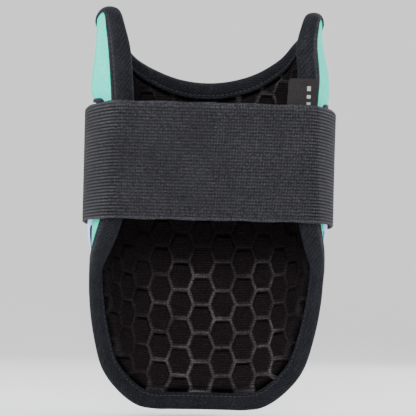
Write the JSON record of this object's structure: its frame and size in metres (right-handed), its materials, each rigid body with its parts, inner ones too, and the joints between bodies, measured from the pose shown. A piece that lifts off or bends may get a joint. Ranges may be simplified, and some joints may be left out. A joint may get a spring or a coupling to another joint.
{
  "type": "batting elbow guard",
  "caption": "Curved padded arm guard for a batter: hard front plate, foam body with hexagon-embossed lining, bound edge and a wide elastic strap across the open back.",
  "frame": {"origin": "on the arm's axis, level with the guard's lower end", "axes": "+Z along the arm, from the tongue end to the notched end; +Y out of the struck front face; the open side with the strap faces -Y"},
  "size_m": [0.1412, 0.1133, 0.2209],
  "materials": {
    "mint_fabric": "smooth coated weave",
    "shell_plastic": "moulded",
    "foam": "closed-cell foam",
    "lining_knit": "brushed knit",
    "binding_fabric": "knit tape",
    "navy_trim": "weave",
    "plate_plastic": "satin moulded",
    "loop_tape": "loop pile",
    "hook_tape": "hook tape",
    "strap_elastic": "ribbed elastic",
    "tab_rubber": "moulded",
    "label_weave": "woven ribbon"
  },
  "bodies": {
    "guard": {"cover_front": "mint_fabric", "cover_left": "mint_fabric", "cover_right": "mint_fabric", "hard_shell": "shell_plastic", "impact_foam": "foam", "comfort_foam": "foam", "lining": "lining_knit", "hex_cells": "lining_knit", "edge_binding": "binding_fabric", "plate_trim": "navy_trim", "front_plate": "plate_plastic", "loop_patch": "loop_tape", "strap_anchor": "strap_elastic", "strap_left": "strap_elastic", "side_label": "label_weave"},
    "strap_span": {"strap_back": "strap_elastic"},
    "strap_end": {"strap_side": "strap_elastic", "hook_patch": "hook_tape"},
    "finger_tab": {"pull_tab": "tab_rubber"}
  },
  "joints": [
    {"name": "strap_swing", "type": "hinge", "parent": "guard", "child": "strap_span", "pos_m": [-0.05511, -0.0479, 0.13723], "axis": [-0.0466, 0.1416, -0.9888], "range_deg": [0, 100]},
    {"name": "side_peel", "type": "hinge", "parent": "strap_span", "child": "strap_end", "pos_m": [0.05511, -0.0479, 0.13723], "axis": [0.0466, 0.1416, -0.9888], "range_deg": [0, 75]},
    {"name": "tab_lift", "type": "hinge", "parent": "strap_end", "child": "finger_tab", "pos_m": [0.06414, 0.02682, 0.13723], "axis": [0, 0.0637, -0.998], "range_deg": [0, 70]}
  ]
}
